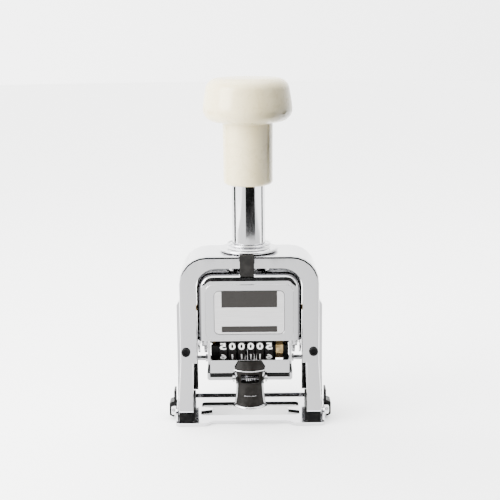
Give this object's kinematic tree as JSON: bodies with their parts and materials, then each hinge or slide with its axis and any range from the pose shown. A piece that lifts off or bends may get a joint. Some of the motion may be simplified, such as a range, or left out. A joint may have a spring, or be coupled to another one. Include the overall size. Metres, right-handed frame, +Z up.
{
  "type": "numbering machine",
  "caption": "Self-inking hand numbering machine: chrome arch frame on a slotted base, sliding plunger with an ivory mushroom handle, number wheels, feed yoke and swinging ink tray",
  "frame": {"origin": "under the middle of the whole machine, on the plane that the base plate stands on", "axes": "+X to the right as the user reads the label, +Y to the back, +Z up along the stem"},
  "size_m": [0.0778, 0.047, 0.1636],
  "materials": {
    "chrome": "bright chrome plate",
    "steel": "plain bright steel",
    "brass": "plain brass",
    "wheel_metal": "blackened metal with bare type faces",
    "ivory_plastic": "glossy ivory moulding",
    "black_enamel": "black finish",
    "dark_enamel": "dark grey finish",
    "black_plastic": "black moulding",
    "rubber": "black rubber",
    "felt": "inked felt",
    "label": "thin metal label with two grey bands and no words"
  },
  "bodies": {
    "frame": {"frame_casing": "chrome", "base_plate": "chrome", "collar": "chrome", "collar_ring": "steel", "rubber_foot_left": "rubber", "rubber_foot_right": "rubber", "cam_plate_left": "steel", "cam_plate_right": "steel", "cam_screw_left": "black_enamel", "cam_screw_right": "black_enamel", "latch_pin_left": "steel", "latch_pin_right": "steel", "return_spring_left": "steel", "return_spring_right": "steel"},
    "plunger": {"stem": "chrome", "handle": "ivory_plastic", "stem_nut": "steel", "carriage_bracket": "steel", "carriage_cover": "chrome", "nameplate": "label", "carriage_back": "chrome", "wheel_axle": "steel", "axle_nut_left": "steel", "axle_nut_right": "steel", "tray_pivot_left": "steel", "tray_pivot_right": "steel", "detent_bar": "steel", "detent_leaves": "brass", "guide_shoe_left": "brass", "guide_shoe_right": "brass"},
    "stop": {"stop_button": "dark_enamel"},
    "tray": {"ink_tray": "chrome", "pad_case": "black_plastic", "ink_pad": "felt", "pad_keeper": "chrome", "follower_pin_left": "steel", "follower_pin_right": "steel", "catch_pin": "steel", "catch_spring": "steel"},
    "catch": {"catch_lever": "dark_enamel"},
    "yoke": {"feed_yoke": "brass"},
    "pawl": {"feed_pawl": "steel"},
    "repeat": {"repeat_wheel": "brass"},
    "left_latch": {"latch_left": "black_enamel"},
    "right_latch": {"latch_right": "black_enamel"},
    "wheel_1": {"number_wheel_1": "wheel_metal"},
    "wheel_2": {"number_wheel_2": "wheel_metal"},
    "wheel_3": {"number_wheel_3": "wheel_metal"},
    "wheel_4": {"number_wheel_4": "wheel_metal"},
    "wheel_5": {"number_wheel_5": "wheel_metal"},
    "wheel_6": {"number_wheel_6": "wheel_metal"}
  },
  "joints": [
    {"name": "plunger_slide", "type": "slide", "parent": "frame", "child": "plunger", "axis": [0, 0, -1], "range_m": [0, 0.025], "stiffness_N_per_m": 500, "springref_m": -0.02, "deforming": ["return_spring_left", "return_spring_right"]},
    {"name": "stop_slide", "type": "slide", "parent": "frame", "child": "stop", "axis": [0, 1, 0], "range_m": [0, 0.0012]},
    {"name": "tray_swing", "type": "hinge", "parent": "plunger", "child": "tray", "pos_m": [0, 0.0023, 0.046], "axis": [-1, 0, 0], "range_deg": [0, 52]},
    {"name": "catch_hinge", "type": "hinge", "parent": "tray", "child": "catch", "pos_m": [0, -0.0153, 0.0227], "axis": [-1, 0, 0], "range_deg": [0, 9], "stiffness_Nm_per_rad": 0.02, "springref_deg": -17.19},
    {"name": "yoke_swing", "type": "hinge", "parent": "plunger", "child": "yoke", "pos_m": [0, 0.0023, 0.0365], "axis": [-1, 0, 0], "range_deg": [0, 36]},
    {"name": "pawl_hinge", "type": "hinge", "parent": "yoke", "child": "pawl", "pos_m": [0, 0.00671, 0.04862], "axis": [-1, 0, 0], "range_deg": [0, 8], "stiffness_Nm_per_rad": 0.01, "springref_deg": -11.46},
    {"name": "repeat_wheel_spin", "type": "hinge", "parent": "plunger", "child": "repeat", "pos_m": [0.0143, 0.0023, 0.0365], "axis": [-1, 0, 0], "continuous": true},
    {"name": "latch_left_hinge", "type": "hinge", "parent": "frame", "child": "left_latch", "pos_m": [-0.0368, -0.0047, 0.0052], "axis": [0, -1, 0], "range_deg": [0, 18], "stiffness_Nm_per_rad": 0.03, "springref_deg": -17.19},
    {"name": "latch_right_hinge", "type": "hinge", "parent": "frame", "child": "right_latch", "pos_m": [0.0368, -0.0047, 0.0052], "axis": [0, 1, 0], "range_deg": [0, 18], "stiffness_Nm_per_rad": 0.03, "springref_deg": -17.19},
    {"name": "number_wheel_1_spin", "type": "hinge", "parent": "plunger", "child": "wheel_1", "pos_m": [-0.0127, 0.0023, 0.0365], "axis": [-1, 0, 0], "continuous": true},
    {"name": "number_wheel_2_spin", "type": "hinge", "parent": "plunger", "child": "wheel_2", "pos_m": [-0.0083, 0.0023, 0.0365], "axis": [-1, 0, 0], "continuous": true},
    {"name": "number_wheel_3_spin", "type": "hinge", "parent": "plunger", "child": "wheel_3", "pos_m": [-0.0039, 0.0023, 0.0365], "axis": [-1, 0, 0], "continuous": true},
    {"name": "number_wheel_4_spin", "type": "hinge", "parent": "plunger", "child": "wheel_4", "pos_m": [0.0005, 0.0023, 0.0365], "axis": [-1, 0, 0], "continuous": true},
    {"name": "number_wheel_5_spin", "type": "hinge", "parent": "plunger", "child": "wheel_5", "pos_m": [0.0049, 0.0023, 0.0365], "axis": [-1, 0, 0], "continuous": true},
    {"name": "number_wheel_6_spin", "type": "hinge", "parent": "plunger", "child": "wheel_6", "pos_m": [0.0093, 0.0023, 0.0365], "axis": [-1, 0, 0], "continuous": true}
  ],
  "couplings": [
    {"joint": "tray_swing", "follows": "plunger_slide", "rad_per_m": 36.302},
    {"joint": "yoke_swing", "follows": "plunger_slide", "rad_per_m": 25.132}
  ]
}
